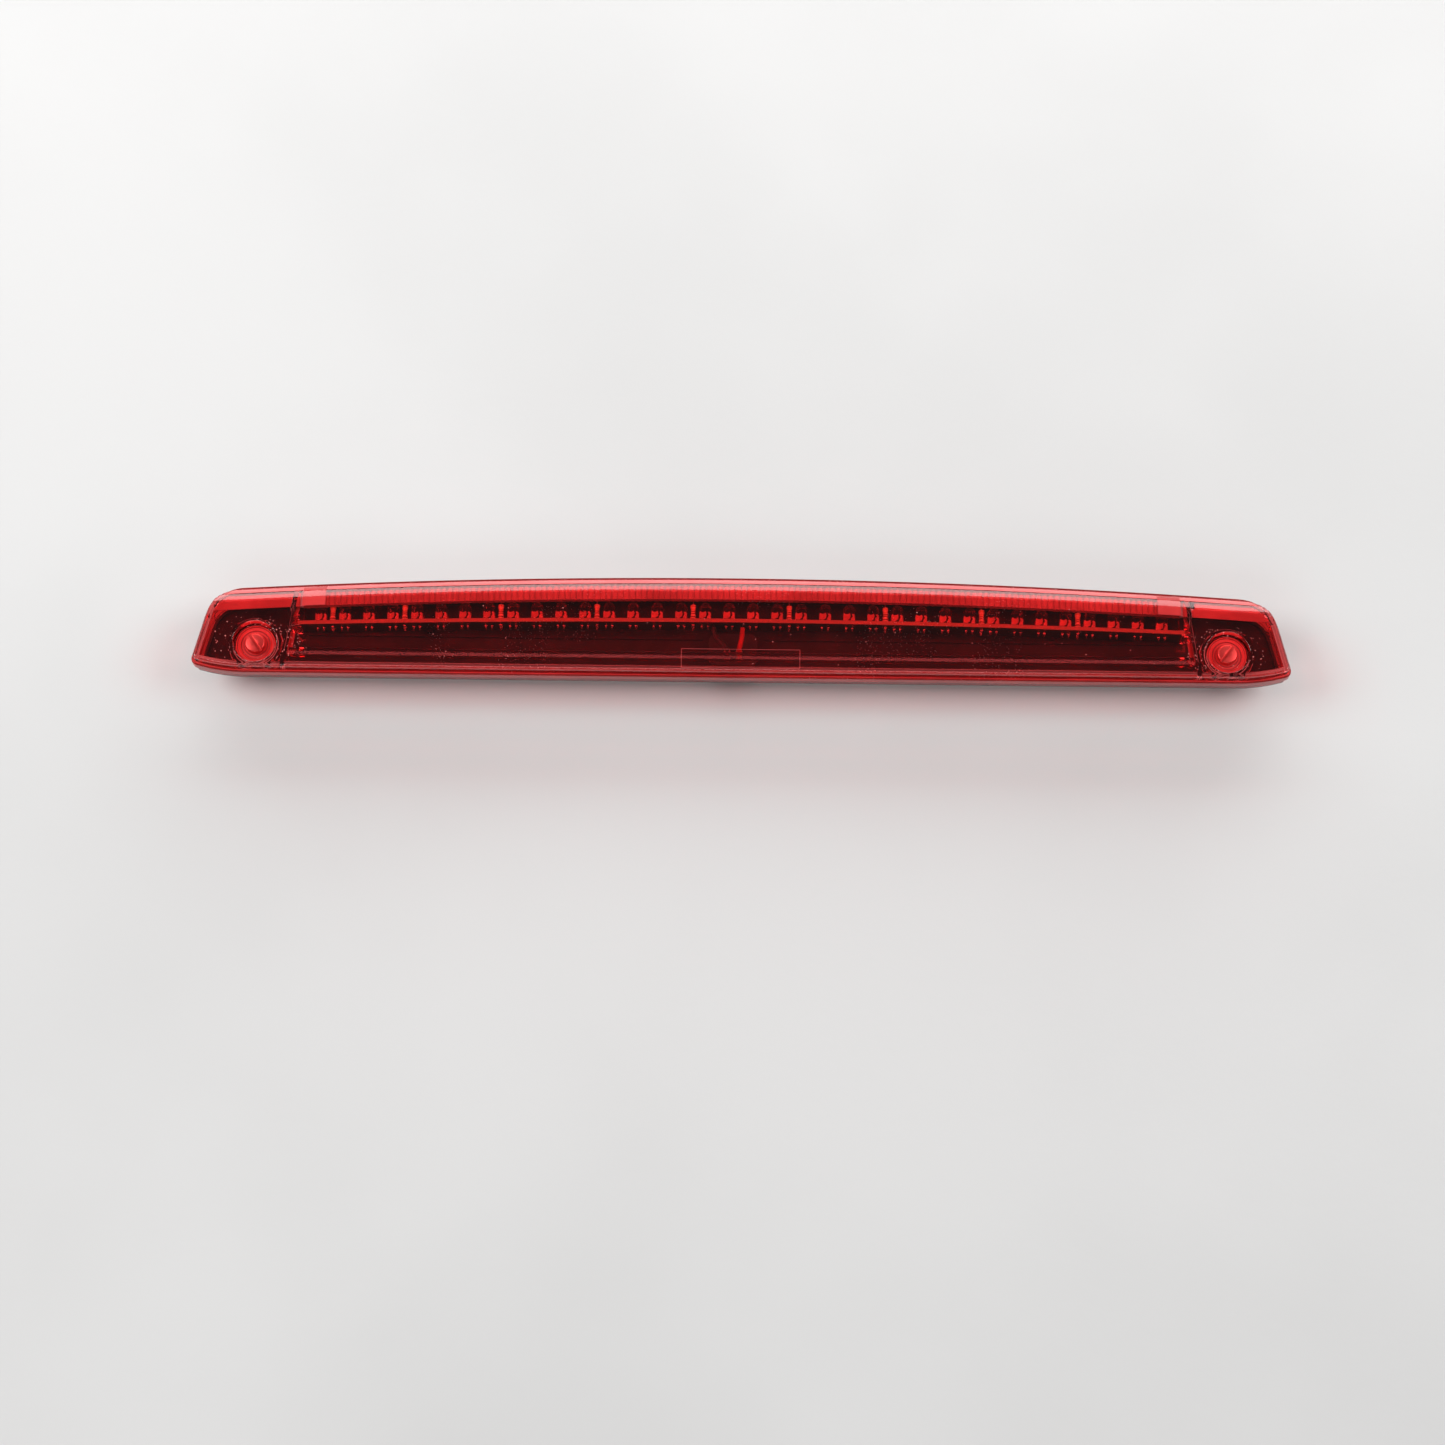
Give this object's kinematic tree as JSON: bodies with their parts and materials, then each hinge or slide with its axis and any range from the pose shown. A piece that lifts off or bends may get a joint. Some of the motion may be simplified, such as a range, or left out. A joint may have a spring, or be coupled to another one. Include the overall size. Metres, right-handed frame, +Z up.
{
  "type": "third brake light",
  "caption": "Long, low third brake light with a clear red lens, a row of LEDs on a flexed circuit board and two slotted mounting screws.",
  "frame": {"origin": "on the panel that the lamp seats on, midway between the two mounting screws", "axes": "+X along the lamp, +Y rearwards, the way the light shines, +Z up out of the panel along the screws"},
  "size_m": [0.456, 0.044, 0.0285],
  "materials": {
    "red_lens": "gloss",
    "black_base": "gloss",
    "sealant": "satin",
    "foam": "matte",
    "board": "satin",
    "led_epoxy": "gloss",
    "tinned_metal": "satin",
    "resistor_coat": "satin",
    "solder": "bright",
    "red_wire": "satin",
    "black_wire": "satin",
    "connector_plastic": "matte",
    "tinned_brass": "satin",
    "silicone": "matte",
    "membrane": "matte",
    "zinc_steel": "satin",
    "black_rubber": "matte"
  },
  "bodies": {
    "lamp": {"outer_lens": "red_lens", "base_housing": "black_base", "lens_sealant": "sealant", "seat_gasket": "foam", "circuit_board": "board", "led_bodies": "led_epoxy", "led_legs": "tinned_metal", "resistor_bodies": "resistor_coat", "resistor_leads": "tinned_metal", "solder_joints": "solder", "feed_wire": "red_wire", "ground_wire": "black_wire", "connector_shell": "connector_plastic", "connector_blades": "tinned_brass", "connector_seal": "silicone", "vent_membrane": "membrane", "compression_sleeves": "zinc_steel", "screw_seals": "black_rubber"},
    "left_washer_body": {"left_washer": "zinc_steel"},
    "left_screw_body": {"left_screw": "zinc_steel"},
    "right_washer_body": {"right_washer": "zinc_steel"},
    "right_screw_body": {"right_screw": "zinc_steel"}
  },
  "joints": [
    {"name": "left_screw_lift", "type": "slide", "parent": "lamp", "child": "left_washer_body", "axis": [0, 0, 1], "range_m": [0, 0.0144]},
    {"name": "left_screw_turn", "type": "hinge", "parent": "left_washer_body", "child": "left_screw_body", "pos_m": [-0.2015, 0, 0.011], "axis": [0, 0, 1], "range_deg": [0, 3240]},
    {"name": "right_screw_lift", "type": "slide", "parent": "lamp", "child": "right_washer_body", "axis": [0, 0, 1], "range_m": [0, 0.0144]},
    {"name": "right_screw_turn", "type": "hinge", "parent": "right_washer_body", "child": "right_screw_body", "pos_m": [0.2015, 0, 0.011], "axis": [0, 0, 1], "range_deg": [0, 3240]}
  ],
  "couplings": [
    {"joint": "left_screw_turn", "follows": "left_screw_lift", "rad_per_m": 3927},
    {"joint": "right_screw_turn", "follows": "right_screw_lift", "rad_per_m": 3927}
  ]
}
